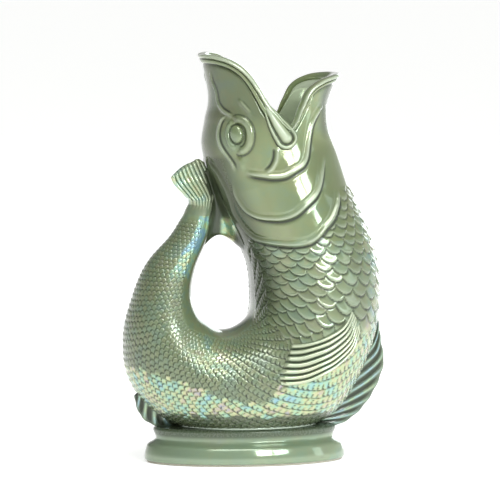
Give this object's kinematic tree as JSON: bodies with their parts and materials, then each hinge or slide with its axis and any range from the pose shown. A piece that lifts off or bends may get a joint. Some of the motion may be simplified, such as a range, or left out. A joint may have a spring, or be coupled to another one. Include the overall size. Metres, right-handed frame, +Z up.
{
  "type": "fish-shaped pouring jug",
  "caption": "Glazed pottery jug shaped as an upright fish: open mouth as spout, curled hollow tail as handle, oval foot.",
  "frame": {"origin": "centre of the oval foot on the plane that the jug stands on", "axes": "+Z up, +X from the tail handle towards the breast, +Y towards the fish's left side"},
  "size_m": [0.164, 0.1002, 0.2514],
  "materials": {
    "sage_glaze": "glossy sage-green lustre glaze over fish scales",
    "head_glaze": "glossy smooth sage-green lustre glaze",
    "fin_glaze": "glossy pearly lustre glaze over ribs",
    "foot_glaze": "glossy sage-green lustre glaze",
    "bare_clay": "unglazed cream earthenware, matt"
  },
  "bodies": {
    "root": {"foot": "foot_glaze", "foot_rim": "bare_clay", "belly": "sage_glaze", "breast": "sage_glaze", "tail": "sage_glaze", "tail_fin": "fin_glaze", "tail_web": "sage_glaze", "head": "head_glaze", "upper_lip": "head_glaze", "lower_lip": "head_glaze", "collar_right": "head_glaze", "collar_left": "head_glaze", "gill_cover_right": "head_glaze", "gill_cover_left": "head_glaze", "jaw_plate_right": "head_glaze", "jaw_plate_left": "head_glaze", "eye_ring_right": "head_glaze", "eye_ring_left": "head_glaze", "eyeball_right": "head_glaze", "eyeball_left": "head_glaze", "pectoral_fin_right": "fin_glaze", "pectoral_fin_left": "fin_glaze", "ventral_fin": "fin_glaze", "anal_fin": "fin_glaze"}
  },
  "joints": []
}
